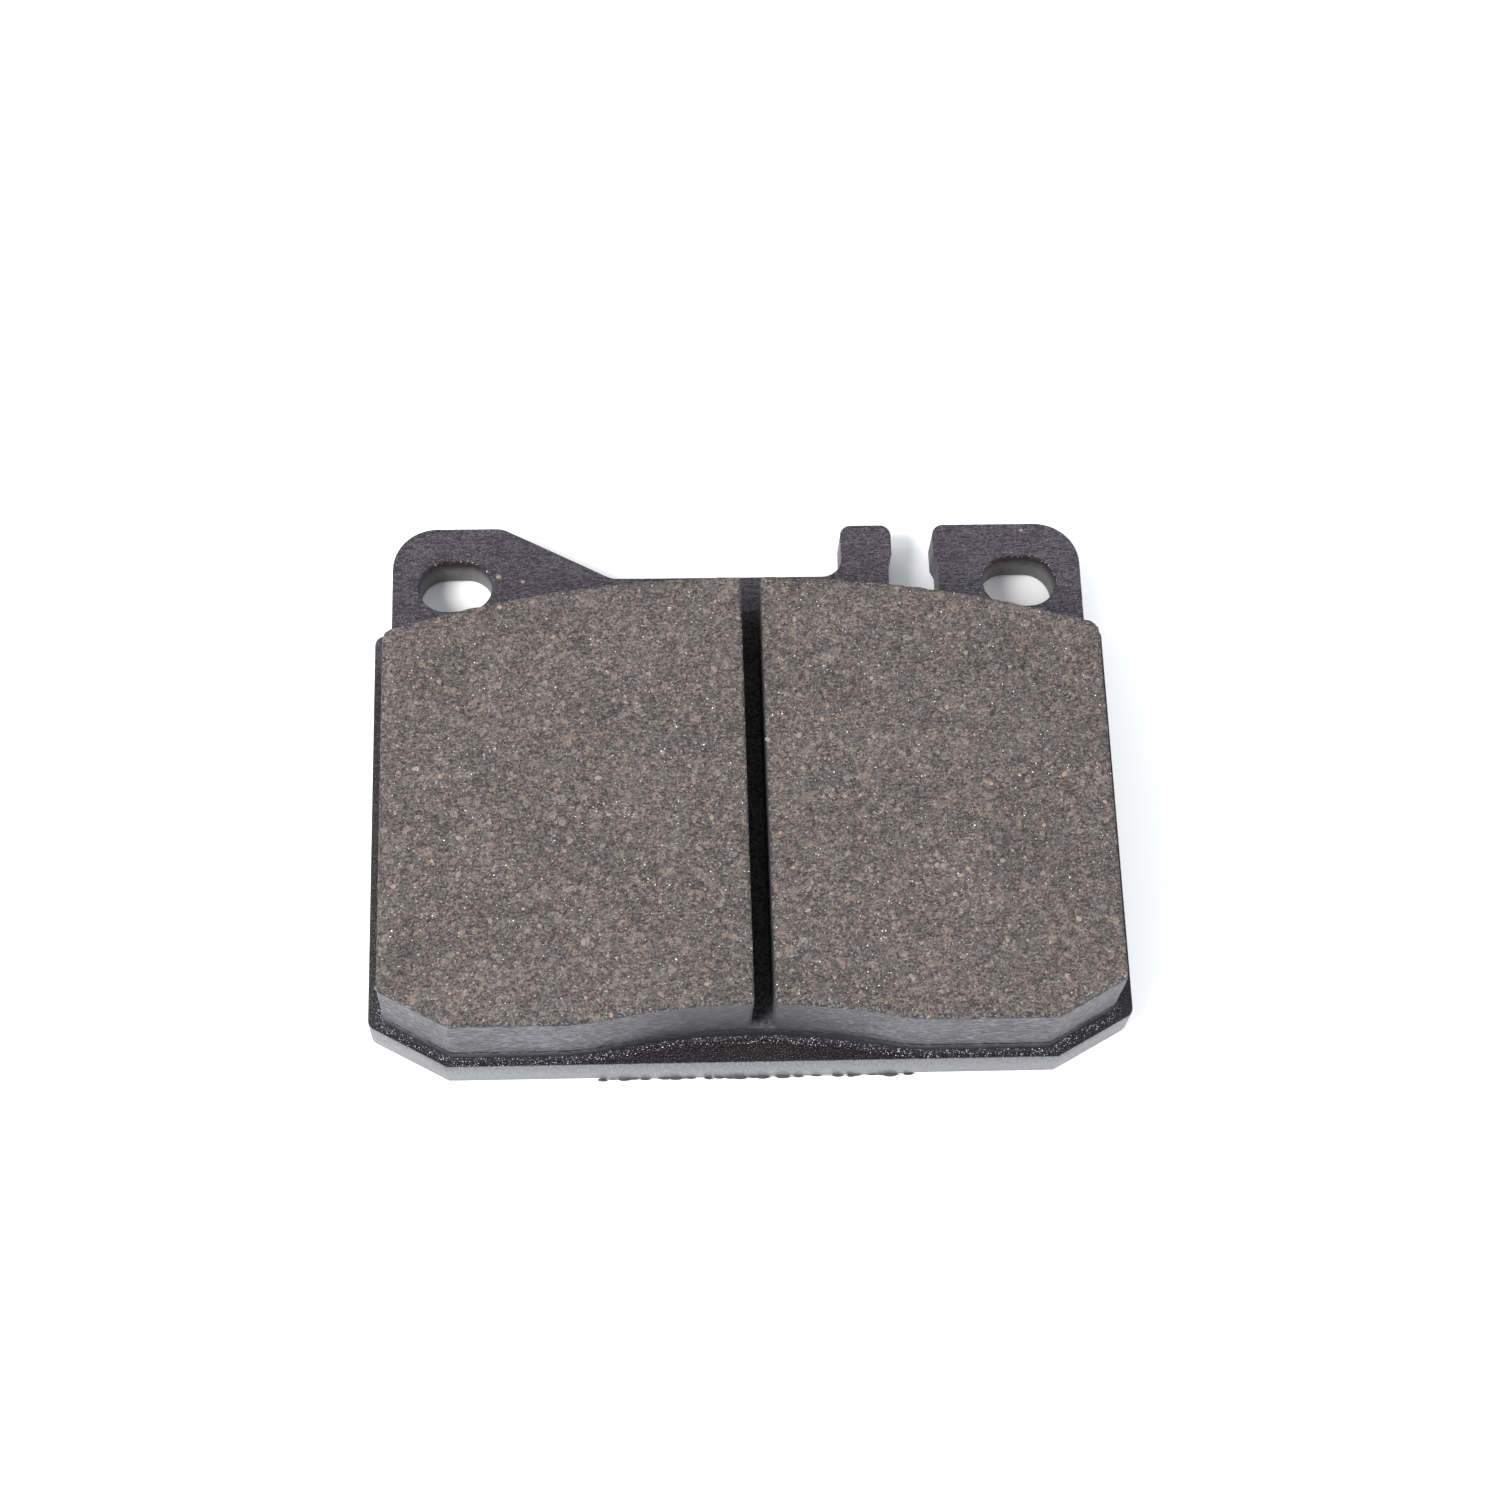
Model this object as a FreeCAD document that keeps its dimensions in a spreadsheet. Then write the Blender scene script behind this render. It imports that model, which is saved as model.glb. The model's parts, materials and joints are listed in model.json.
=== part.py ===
"""Disc brake pad with two slotted pin holes: a bonded stack of plate, friction material and noise shim.

Millimetres. The pad lies on its back: +Z points to the disc, +Y towards the pin ears and +X to the right
of the front view. The origin is at the bottom centre of the pad's box, on the outer skin of the shim.
Heights across the pad (Y) are driven from the plate's straight lower edge, as a drawing gives them.
"""

import FreeCAD, Part
import Sketcher
import os
import re

V = FreeCAD.Vector
NEAR = 1e-3

# name, value, what it sets
SIZES = [
    # backing plate
    ("plate_width", 90.0, "overall width of the backing plate"),
    ("plate_height", 70.0, "lower edge to the tops of the ears"),
    ("plate_thick", 5.5, "thickness of the backing plate"),
    ("shoulder_drop", 14.6, "ear tops down to the shoulders beside the ears"),
    ("shoulder_step", 2.0, "step in from the plate's side to the ear's side"),
    ("bridge_drop", 7.1, "ear tops down to the low edge between the ears"),
    ("toe_run", 9.25, "sloped lower corner, along the lower edge"),
    ("toe_rise", 5.1, "sloped lower corner, up the side"),
    ("ear_radius", 5.5, "outer corner of each ear"),
    ("side_radius", 1.3, "corners of the plate's sides"),
    ("left_ear_flat", 13.6, "flat top of the left ear, from its side to its slope"),
    ("left_ear_slope", 13.6, "run of the left ear's slope down to the bridge"),
    ("slope_radius", 3.0, "corners at the top and foot of the slope"),
    # wear sensor slot, between the small tab and the right ear
    ("sensor_x", 22.0, "centre of the sensor slot"),
    ("sensor_lip_gap", 5.25, "gap between the slot's lips"),
    ("sensor_throat", 6.25, "width of the slot below its lips"),
    ("sensor_lip_depth", 4.0, "length of the lips, down from the ear tops"),
    ("sensor_lip_slope", 1.1, "sloped step under each lip"),
    ("sensor_depth", 11.0, "ear tops down to the floor of the slot"),
    ("sensor_floor_radius", 2.4, "corners of the slot's floor"),
    ("tab_width", 6.4, "width of the tab left of the slot"),
    ("tab_radius", 1.4, "top corners of the tab and of the slot's right lip"),
    ("tab_foot_radius", 2.5, "fillet where the tab meets the bridge"),
    # pin holes
    ("pin_spacing", 70.4, "centre distance of the two pin slots"),
    ("pin_drop", 8.0, "ear tops down to the pin slots' centres"),
    ("pin_slot_length", 9.15, "end to end length of a pin slot"),
    ("pin_slot_width", 6.85, "width of a pin slot"),
    # anchor holes under the friction material, filled by plugs of the underlayer
    ("anchor_spacing", 40.0, "centre distance of the anchor holes"),
    ("anchor_height", 28.0, "lower edge to the anchor holes"),
    ("anchor_bore", 10.0, "diameter of an anchor hole"),
    ("plug_depth", 4.5, "how far a plug reaches into its hole"),
    # friction material
    ("lining_width", 85.7, "width of the friction material"),
    ("lining_x", -0.3, "sideways place of the friction material on the plate"),
    ("lining_foot", 1.05, "lower edge of the plate to the friction material's feet"),
    ("crown_drop", 13.05, "ear tops down to the crown of the friction material's outer arc"),
    ("lining_radius", 142.0, "radius of the outer arc"),
    ("lining_thick", 12.5, "plate face to friction face"),
    ("lining_toe_run", 8.05, "sloped lower corner of the friction material, along its foot"),
    ("lining_toe_rise", 4.45, "sloped lower corner of the friction material, up its side"),
    ("lining_corner", 1.5, "upper corners of the friction material"),
    ("arch_x", -0.9, "centre of the relief arch between the feet"),
    ("arch_rise", 2.15, "height of the relief arch above the feet"),
    ("arch_radius", 83.0, "radius of the relief arch"),
    ("arch_blend", 28.0, "rounding where the relief arch runs out into the feet"),
    ("slot_x", 0.85, "centre of the cooling slot"),
    ("slot_width", 2.4, "width of the cooling slot"),
    ("slot_floor", 3.5, "friction material left under the slot, from the plate's face"),
    ("bond_thick", 0.2, "thickness of the adhesive film"),
    ("bond_margin", 0.45, "how far the film reaches past the friction material"),
    ("underlayer_top", 2.0, "plate face to the top of the underlayer"),
    # noise shim on the back
    ("shim_glue_thick", 0.15, "adhesive of the shim"),
    ("shim_core_thick", 0.45, "steel of the shim"),
    ("shim_skin_thick", 0.15, "rubber skin of the shim"),
    ("shim_inset", 1.6, "shim edge, in from the plate's edge"),
    ("shim_drop", 14.0, "ear tops down to the shim's top edge"),
    ("shim_tongue", 36.0, "width of the tongue that reaches the plate's lower edge"),
    ("shim_radius", 3.0, "upper corners of the shim"),
]
NAMES = {alias for alias, _, _ in SIZES}

# heights of the layers in the stack, from the lowest face up
SKIN_TOP = "shim_skin_thick"
CORE_TOP = SKIN_TOP + " + shim_core_thick"
PLATE_BACK = CORE_TOP + " + shim_glue_thick"
PLATE_FACE = PLATE_BACK + " + plate_thick"
FRICTION_FACE = PLATE_FACE + " + lining_thick"

# heights across the plate, from its lower edge
EAR_TOP = "plate_height"
BRIDGE = "plate_height - bridge_drop"
PIN_HEIGHT = "plate_height - pin_drop"
SHOULDER = "plate_height - shoulder_drop"
CROWN = "plate_height - crown_drop"
SHIM_TOP = "plate_height - shim_drop"

doc = FreeCAD.newDocument("brake_pad")
sheet = doc.addObject("Spreadsheet::Sheet", "dims")
for row, (alias, value, meaning) in enumerate(SIZES, start=1):
    sheet.set(f"A{row}", alias)
    sheet.set(f"B{row}", str(value))
    sheet.set(f"C{row}", meaning)
    sheet.setAlias(f"B{row}", alias)
doc.recompute()


def bound(text):
    """The expression with each driving dimension read from the sheet."""
    return re.sub(r"[a-z_]+", lambda word: "dims." + word[0] if word[0] in NAMES else word[0], text)


def now(text):
    """The value that an expression has at present."""
    value = sheet.evalExpression(bound(text))
    return float(getattr(value, "Value", value))


def across(height):
    """A height above the plate's lower edge, as a Y of the pad's frame."""
    return f"({height}) - plate_height / 2"


def new_body(name):
    body = doc.addObject("PartDesign::Body", name)
    body.Label = name
    return body


def new_sketch(body, name, level):
    """An empty sketch, level with the given height of the stack."""
    sketch = body.newObject("Sketcher::SketchObject", name)
    plane = next(part for part in body.Origin.OriginFeatures if part.Role == "XY_Plane")
    sketch.AttachmentSupport = [(plane, "")]
    sketch.MapMode = "FlatFace"
    sketch.setExpression("AttachmentOffset.Base.z", bound(level))
    return sketch


def bind(sketch, kind, geometry, point, text):
    """Add a dimension to the sketch and bind its value to the sheet."""
    place = (geometry,) if point is None else (geometry, point)
    index = sketch.addConstraint(Sketcher.Constraint(kind, *place, now(text)))
    sketch.setExpression(f"Constraints[{index}]", bound(text))


def closed_outline(sketch, corners, arcs=()):
    """Draw a closed loop through the corners, each corner's X and Y bound to the sheet.

    arcs maps a corner's number to (radius, centre X, centre Y, turn): the stretch that leaves that corner
    is an arc about the centre, counter-clockwise when its turn is 1 and clockwise when it is -1. Its two
    ends are bound as corners, so one more dimension sets it: how far its centre lies from its chord.
    """
    arcs = dict(arcs)
    places = [V(now(x), now(y), 0) for x, y in corners]
    count = len(corners)
    joints = []
    for index, start in enumerate(places):
        end = places[(index + 1) % count]
        if index in arcs:
            radius, centre_x, centre_y, turn = arcs[index]
            centre = V(now(centre_x), now(centre_y), 0)
            circle = Part.Circle(centre, V(0, 0, 1), now(radius))
            ends = (start, end) if turn > 0 else (end, start)
            angles = [circle.parameter(place) for place in ends]
            piece = sketch.addGeometry(Part.ArcOfCircle(circle, *angles), False)
            if abs(end.x - start.x) > abs(end.y - start.y):
                bind(sketch, "DistanceY", piece, 3, centre_y)
            else:
                bind(sketch, "DistanceX", piece, 3, centre_x)
            joints.append((piece, 1, 2) if turn > 0 else (piece, 2, 1))
        else:
            piece = sketch.addGeometry(Part.LineSegment(start, end), False)
            joints.append((piece, 1, 2))
    for index, (piece, first, _) in enumerate(joints):
        before, _, last = joints[index - 1]
        sketch.addConstraint(Sketcher.Constraint("Coincident", before, last, piece, first))
        x, y = corners[index]
        bind(sketch, "DistanceX", piece, first, x)
        bind(sketch, "DistanceY", piece, first, y)


def pad_up(body, name, sketch, thickness):
    """Raise the sketch upwards by the thickness."""
    pad = body.newObject("PartDesign::Pad", name)
    pad.Profile = sketch
    pad.setExpression("Length", bound(thickness))
    sketch.Visibility = False
    doc.recompute()
    return pad


def pocket_down(body, name, sketch, depth):
    """Cut the sketch downwards by the depth, and make sure that it took material away."""
    before = body.Shape.Volume
    pocket = body.newObject("PartDesign::Pocket", name)
    pocket.Profile = sketch
    pocket.setExpression("Length", bound(depth))
    sketch.Visibility = False
    doc.recompute()
    if body.Shape.Volume > before - NEAR:
        raise RuntimeError(name + " cut nothing")
    return pocket


def round_corners(body, name, places, radius):
    """Round the upright edges that stand on the given places of the outline."""
    base = body.Tip
    targets = [V(now(x), now(y), 0) for x, y in places]
    found = []
    for index, edge in enumerate(base.Shape.Edges, start=1):
        ends = [vertex.Point for vertex in edge.Vertexes]
        upright = len(ends) == 2 and abs(ends[0].x - ends[1].x) + abs(ends[0].y - ends[1].y) < NEAR
        if upright and any((V(ends[0].x, ends[0].y, 0) - target).Length < NEAR for target in targets):
            found.append(f"Edge{index}")
    if len(found) != len(places):
        raise RuntimeError(f"{name}: {len(found)} edges for {len(places)} corners")
    fillet = body.newObject("PartDesign::Fillet", name)
    fillet.Base = (base, found)
    fillet.setExpression("Radius", bound(radius))
    doc.recompute()
    return fillet


def straight_slot(sketch, x, y, length, width):
    """A slot with round ends that runs along X."""
    right = f"{x} + ({length}) / 2 - ({width}) / 2"
    left = f"{x} - ({length}) / 2 + ({width}) / 2"
    low = f"{y} - ({width}) / 2"
    high = f"{y} + ({width}) / 2"
    radius = f"({width}) / 2"
    corners = [(left, low), (right, low), (right, high), (left, high)]
    closed_outline(sketch, corners, {1: (radius, right, y, 1), 3: (radius, left, y, 1)})


def circle(sketch, x, y, diameter):
    """A round hole or plug."""
    piece = sketch.addGeometry(Part.Circle(V(now(x), now(y), 0), V(0, 0, 1), now(diameter) / 2), False)
    bind(sketch, "Diameter", piece, None, diameter)
    bind(sketch, "DistanceX", piece, 3, x)
    bind(sketch, "DistanceY", piece, 3, y)


def anchor_circles(body, name, level):
    """The two anchor places, as holes or as plugs."""
    sketch = new_sketch(body, name, level)
    for side in ("-", ""):
        circle(sketch, f"{side}anchor_spacing / 2", across("anchor_height"), "anchor_bore")
    return sketch


def backing_plate():
    """Pressed steel plate: outline, rounded corners, pin slots and anchor holes."""
    body = new_body("backing_plate")
    half = "plate_width / 2"
    ear = "plate_width / 2 - shoulder_step"
    lip_left = "sensor_x - sensor_lip_gap / 2"
    lip_right = "sensor_x + sensor_lip_gap / 2"
    throat_left = "sensor_x - sensor_throat / 2"
    throat_right = "sensor_x + sensor_throat / 2"
    lip_end = across("plate_height - sensor_lip_depth")
    throat_start = across("plate_height - sensor_lip_depth - sensor_lip_slope")
    floor = across("plate_height - sensor_depth")
    top = across(EAR_TOP)
    bridge = across(BRIDGE)
    shoulder = across(SHOULDER)
    lower = across("0")
    toe = across("toe_rise")
    tab_left = lip_left + " - tab_width"
    slope_top = f"-({ear}) + left_ear_flat"
    slope_foot = slope_top + " + left_ear_slope"

    outline = [
        (f"-({half}) + toe_run", lower),
        (f"{half} - toe_run", lower),
        (half, toe),
        (half, shoulder),
        (ear, shoulder),
        (ear, top),
        (lip_right, top),
        (lip_right, lip_end),
        (throat_right, throat_start),
        (throat_right, floor),
        (throat_left, floor),
        (throat_left, throat_start),
        (lip_left, lip_end),
        (lip_left, top),
        (tab_left, top),
        (tab_left, bridge),
        (slope_foot, bridge),
        (slope_top, top),
        (f"-({ear})", top),
        (f"-({ear})", shoulder),
        (f"-({half})", shoulder),
        (f"-({half})", toe),
    ]
    sketch = new_sketch(body, "plate_outline", PLATE_BACK)
    closed_outline(sketch, outline)
    pad_up(body, "plate_blank", sketch, "plate_thick")

    round_corners(body, "ear_corners", [(ear, top), (f"-({ear})", top)], "ear_radius")
    sides = [(half, shoulder), (f"-({half})", shoulder), (half, toe), (f"-({half})", toe)]
    round_corners(body, "side_corners", sides, "side_radius")
    round_corners(body, "slope_corners", [(slope_top, top), (slope_foot, bridge)], "slope_radius")
    round_corners(body, "tab_foot", [(tab_left, bridge)], "tab_foot_radius")
    tips = [(lip_right, top), (lip_left, top), (tab_left, top)]
    round_corners(body, "tab_tips", tips, "tab_radius")
    floors = [(throat_right, floor), (throat_left, floor)]
    round_corners(body, "sensor_floor_corners", floors, "sensor_floor_radius")

    for side, sign in (("left", "-"), ("right", "")):
        sketch = new_sketch(body, f"pin_slot_{side}_outline", PLATE_FACE)
        place = across(PIN_HEIGHT)
        straight_slot(sketch, f"{sign}pin_spacing / 2", place, "pin_slot_length", "pin_slot_width")
        pocket_down(body, f"pin_slot_{side}", sketch, "plate_thick")
    sketch = anchor_circles(body, "anchor_hole_outlines", PLATE_FACE)
    pocket_down(body, "anchor_holes", sketch, "plate_thick")
    return body


def lining_outline(sketch, grow="0"):
    """Outline of the friction material, or that outline grown evenly by a margin."""
    half = f"(lining_width / 2 + {grow})"
    toe_angle = "atan(lining_toe_rise / lining_toe_run)"
    toe_x = f"(lining_width / 2 - lining_toe_run + {grow} * tan({toe_angle} / 2))"
    toe_y = across(f"lining_foot + lining_toe_rise - {grow} * tan(45 deg - {toe_angle} / 2)")
    foot = across(f"lining_foot - {grow}")
    arch_r = f"(arch_radius - {grow})"
    arch_half = f"sqrt({arch_r} ^ 2 - (arch_radius - arch_rise - {grow}) ^ 2)"
    crown_r = f"(lining_radius + {grow})"
    crown_end = across(f"{CROWN} - lining_radius + sqrt({crown_r} ^ 2 - {half} ^ 2)")
    corners = [
        (f"lining_x - {toe_x}", foot),
        (f"arch_x - {arch_half}", foot),
        (f"arch_x + {arch_half}", foot),
        (f"lining_x + {toe_x}", foot),
        (f"lining_x + {half}", toe_y),
        (f"lining_x + {half}", crown_end),
        (f"lining_x - {half}", crown_end),
        (f"lining_x - {half}", toe_y),
    ]
    arch = (arch_r, "arch_x", across("lining_foot + arch_rise - arch_radius"), -1)
    crown = (crown_r, "lining_x", across(f"{CROWN} - lining_radius"), 1)
    closed_outline(sketch, corners, {1: arch, 5: crown})
    return corners


def lining_layer(name, level, thickness, grow="0"):
    """One layer of the friction stack, between two heights."""
    body = new_body(name)
    sketch = new_sketch(body, name + "_outline", level)
    corners = lining_outline(sketch, grow)
    pad_up(body, name + "_pad", sketch, thickness)
    round_corners(body, name + "_corners", corners[5:7], f"lining_corner + {grow}")
    round_corners(body, name + "_arch_ends", corners[1:3], f"arch_blend + {grow}")
    return body


def bond_film():
    """Cured adhesive that shows as a narrow dark rim round the friction material."""
    body = lining_layer("bond_film", PLATE_FACE, "bond_thick", "bond_margin")
    sketch = anchor_circles(body, "film_hole_outlines", PLATE_FACE + " + bond_thick")
    pocket_down(body, "film_holes", sketch, "bond_thick")
    return body


def underlayer():
    """Backing mix between plate and friction material, with two plugs that fill the anchor holes."""
    base = PLATE_FACE + " + bond_thick"
    body = lining_layer("underlayer", base, "underlayer_top - bond_thick")
    sketch = anchor_circles(body, "plug_outlines", PLATE_FACE + " - plug_depth")
    pad_up(body, "plugs", sketch, "plug_depth + bond_thick")
    return body


def friction_block():
    """Friction material, parted by one cooling slot that stops short of the underlayer."""
    body = lining_layer("friction_block", PLATE_FACE + " + underlayer_top", "lining_thick - underlayer_top")
    sketch = new_sketch(body, "slot_outline", FRICTION_FACE)
    left = "slot_x - slot_width / 2"
    right = "slot_x + slot_width / 2"
    low = across("0")
    high = across(f"{CROWN} + lining_corner")
    closed_outline(sketch, [(left, low), (right, low), (right, high), (left, high)])
    pocket_down(body, "cooling_slot", sketch, "lining_thick - slot_floor")
    return body


def shim_layer(name, level, thickness):
    """One layer of the noise shim: the plate's shape drawn in, with a tongue to the lower edge."""
    body = new_body(name)
    half = "(plate_width / 2 - shim_inset)"
    toe_angle = "atan(toe_rise / toe_run)"
    toe_x = f"(plate_width / 2 - toe_run - shim_inset * tan({toe_angle} / 2))"
    toe_y = across(f"toe_rise + shim_inset * tan(45 deg - {toe_angle} / 2)")
    low = across("shim_inset")
    tongue = across("0")
    top = across(SHIM_TOP)
    outline = [
        (f"-{toe_x}", low),
        ("-shim_tongue / 2", low),
        ("-shim_tongue / 2", tongue),
        ("shim_tongue / 2", tongue),
        ("shim_tongue / 2", low),
        (toe_x, low),
        (half, toe_y),
        (half, top),
        (f"-{half}", top),
        (f"-{half}", toe_y),
    ]
    sketch = new_sketch(body, name + "_outline", level)
    closed_outline(sketch, outline)
    pad_up(body, name + "_pad", sketch, thickness)
    round_corners(body, name + "_corners", [(half, top), (f"-{half}", top)], "shim_radius")
    return body


bodies = [
    shim_layer("shim_rubber", "0", "shim_skin_thick"),
    shim_layer("shim_core", SKIN_TOP, "shim_core_thick"),
    shim_layer("shim_adhesive", CORE_TOP, "shim_glue_thick"),
    backing_plate(),
    bond_film(),
    underlayer(),
    friction_block(),
]
doc.recompute()

failed = [item.Name for item in doc.Objects if {"Invalid", "Error"} & set(item.State)]
if failed:
    raise RuntimeError("failed objects: " + ", ".join(failed))
for body in bodies:
    shape = body.Shape
    if shape.isNull() or not shape.isValid() or len(shape.Solids) != 1:
        raise RuntimeError(body.Label + " is not one valid solid")

os.makedirs("parts", exist_ok=True)
for body in bodies:
    body.Shape.exportStep(f"parts/{body.Label}.step")
    box = body.Shape.BoundBox
    low = f"({box.XMin:.2f}, {box.YMin:.2f}, {box.ZMin:.2f})"
    high = f"({box.XMax:.2f}, {box.YMax:.2f}, {box.ZMax:.2f})"
    print(f"{body.Label}: {body.Shape.Volume / 1000:.3f} cm3, {low} to {high}")
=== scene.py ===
# %% [markdown]
# # A disc brake pad
# The frame holds the pad as a maker would draw it: a pressed steel backing plate, a film of adhesive, an
# underlayer, a block of friction material with one cooling slot, and a three-layer noise shim on the back.
# This lesson gives each piece the surface that the real one has: rough powder coat and sheared edges on
# the plate, moulded walls and a ground granular face on the block, and grit caught in the adhesive.

# %% Load the frame
import json
import math

import bmesh
import bpy
from mathutils import Matrix, Vector, noise
from mathutils.bvhtree import BVHTree


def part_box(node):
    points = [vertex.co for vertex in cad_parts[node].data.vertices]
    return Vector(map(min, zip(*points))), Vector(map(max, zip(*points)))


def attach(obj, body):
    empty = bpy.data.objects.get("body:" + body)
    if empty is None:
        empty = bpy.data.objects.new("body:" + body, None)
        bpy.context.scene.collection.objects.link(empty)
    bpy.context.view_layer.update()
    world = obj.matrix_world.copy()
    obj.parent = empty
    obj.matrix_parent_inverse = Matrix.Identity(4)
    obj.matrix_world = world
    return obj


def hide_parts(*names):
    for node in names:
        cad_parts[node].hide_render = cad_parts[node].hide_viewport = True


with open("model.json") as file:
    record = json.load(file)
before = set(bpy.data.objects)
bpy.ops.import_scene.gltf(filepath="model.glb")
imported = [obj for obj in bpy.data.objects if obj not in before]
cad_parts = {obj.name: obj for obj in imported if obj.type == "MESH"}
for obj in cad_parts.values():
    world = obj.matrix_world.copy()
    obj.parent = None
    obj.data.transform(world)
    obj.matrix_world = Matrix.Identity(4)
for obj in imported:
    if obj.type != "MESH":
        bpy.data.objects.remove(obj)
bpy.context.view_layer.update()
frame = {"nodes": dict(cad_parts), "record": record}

MM = 0.001
SAME_POINT = 1e-7
nodes = frame["nodes"]
print("nodes:", ", ".join(sorted(nodes)))

# %% [markdown]
# ## Where things are
# Every place is read from the frame, so the dressing follows the drawing. The cooling slot's floor is the
# only level of the block between its base and its face, so its corners give the slot's two sides.

# %% Levels and edges of the stack
plate_low, plate_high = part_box("backing_plate")
block_low, block_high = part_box("friction_block")
film_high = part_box("bond_film")[1]
HAIR = 0.01 * MM

floor_points = [v.co for v in nodes["friction_block"].data.vertices
                if block_low.z + HAIR < v.co.z < block_high.z - HAIR]
slot_left = min(point.x for point in floor_points)
slot_right = max(point.x for point in floor_points)
slot_floor = floor_points[0].z
print(f"slot {slot_left / MM:.2f} to {slot_right / MM:.2f} mm, floor at {slot_floor / MM:.2f} mm")

# %% [markdown]
# ## A small language for finishes
# A finish is a material whose colour, gloss and relief are worked out from the place on the piece. Written
# node by node that is long, so two small classes carry it: Signal wraps the output of a node and turns
# arithmetic into Math nodes, and Finish makes any node from its type, its settings and its inputs.

# %% Signals and finishes
class Signal:
    """The output of a shader node. Arithmetic on it adds Math nodes."""

    def __init__(self, finish, socket):
        self.finish = finish
        self.socket = socket

    def math(self, operation, other=0.0, swapped=False, clamped=False):
        first, second = (other, self) if swapped else (self, other)
        settings = {"operation": operation, "use_clamp": clamped}
        return self.finish.node("ShaderNodeMath", settings, {0: first, 1: second})

    def __add__(self, other):
        return self.math("ADD", other)

    def __sub__(self, other):
        return self.math("SUBTRACT", other)

    def __rsub__(self, other):
        return self.math("SUBTRACT", other, swapped=True)

    def __mul__(self, other):
        return self.math("MULTIPLY", other)

    def __truediv__(self, other):
        return self.math("DIVIDE", other)

    def __pow__(self, other):
        return self.math("POWER", other)

    def __gt__(self, other):
        return self.math("GREATER_THAN", other)

    def __lt__(self, other):
        return self.math("LESS_THAN", other)

    __radd__ = __add__
    __rmul__ = __mul__

    def clamp(self):
        return self.math("ADD", 0.0, clamped=True)

    def ramp(self, low, high):
        """0 below low, 1 above high, and a straight line between them."""
        return ((self - low) / (high - low)).clamp()


class Finish:
    """A Principled material whose nodes are made by one method."""

    def __init__(self, name, **constants):
        self.material = bpy.data.materials.new(name)
        self.material.use_nodes = True
        self.tree = self.material.node_tree
        self.shader = self.tree.nodes["Principled BSDF"]
        for socket, value in constants.items():
            self.shader.inputs[socket.replace("_", " ")].default_value = value
        self.place = self.node("ShaderNodeTexCoord", output="Object")

    def node(self, kind, settings=None, inputs=None, output=0):
        made = self.tree.nodes.new(kind)
        for name, value in (settings or {}).items():
            if name == "stops":
                for extra in range(len(value) - 2):
                    made.color_ramp.elements.new(0.5)
                for element, (position, colour) in zip(made.color_ramp.elements, value):
                    element.position = position
                    element.color = (*colour, 1.0)
            else:
                setattr(made, name, value)
        for name, value in (inputs or {}).items():
            self.feed(made.inputs[name], value)
        return Signal(self, made.outputs[output])

    def feed(self, socket, value):
        if isinstance(value, Signal):
            self.tree.links.new(value.socket, socket)
        elif isinstance(value, tuple) and len(value) == 3 and socket.type == "RGBA":
            socket.default_value = (*value, 1.0)
        else:
            socket.default_value = value

    def set(self, socket, value):
        self.feed(self.shader.inputs[socket], value)

    def stretched(self, x, y, z):
        """The place on the piece, with each direction drawn out by its own factor."""
        return self.node("ShaderNodeVectorMath", {"operation": "MULTIPLY"}, {0: self.place, 1: (x, y, z)})

    def axis(self, letter):
        """One coordinate of the place on the piece, in millimetres."""
        return self.node("ShaderNodeSeparateXYZ", None, {0: self.place}, output=letter) / MM

    def noise(self, size_mm, detail=2.0, rough=0.5, place=None, output="Fac"):
        """Soft noise whose blotches are about size_mm across."""
        inputs = {"Vector": place or self.place, "Scale": 1 / (size_mm * MM), "Detail": detail,
                  "Roughness": rough}
        return self.node("ShaderNodeTexNoise", {"noise_dimensions": "3D"}, inputs, output)

    def cells(self, size_mm, place=None):
        """Grain-like cells about size_mm across, each with a colour of its own."""
        inputs = {"Vector": place or self.place, "Scale": 1 / (size_mm * MM)}
        return self.node("ShaderNodeTexVoronoi", None, inputs, "Color")

    def part(self, colour, channel):
        return self.node("ShaderNodeSeparateColor", None, {0: colour}, output=channel)

    def ramp_colour(self, factor, *stops):
        return self.node("ShaderNodeValToRGB", {"stops": stops}, {0: factor})

    def mix(self, factor, below, above):
        inputs = {0: factor, 6: below, 7: above}
        return self.node("ShaderNodeMix", {"data_type": "RGBA"}, inputs, output=2)

    def relief(self, height, depth_mm, strength=1.0):
        """Turn a 0 to 1 height into a bump of about depth_mm."""
        inputs = {"Height": height, "Distance": depth_mm * MM, "Strength": strength}
        self.set("Normal", self.node("ShaderNodeBump", None, inputs))
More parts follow.
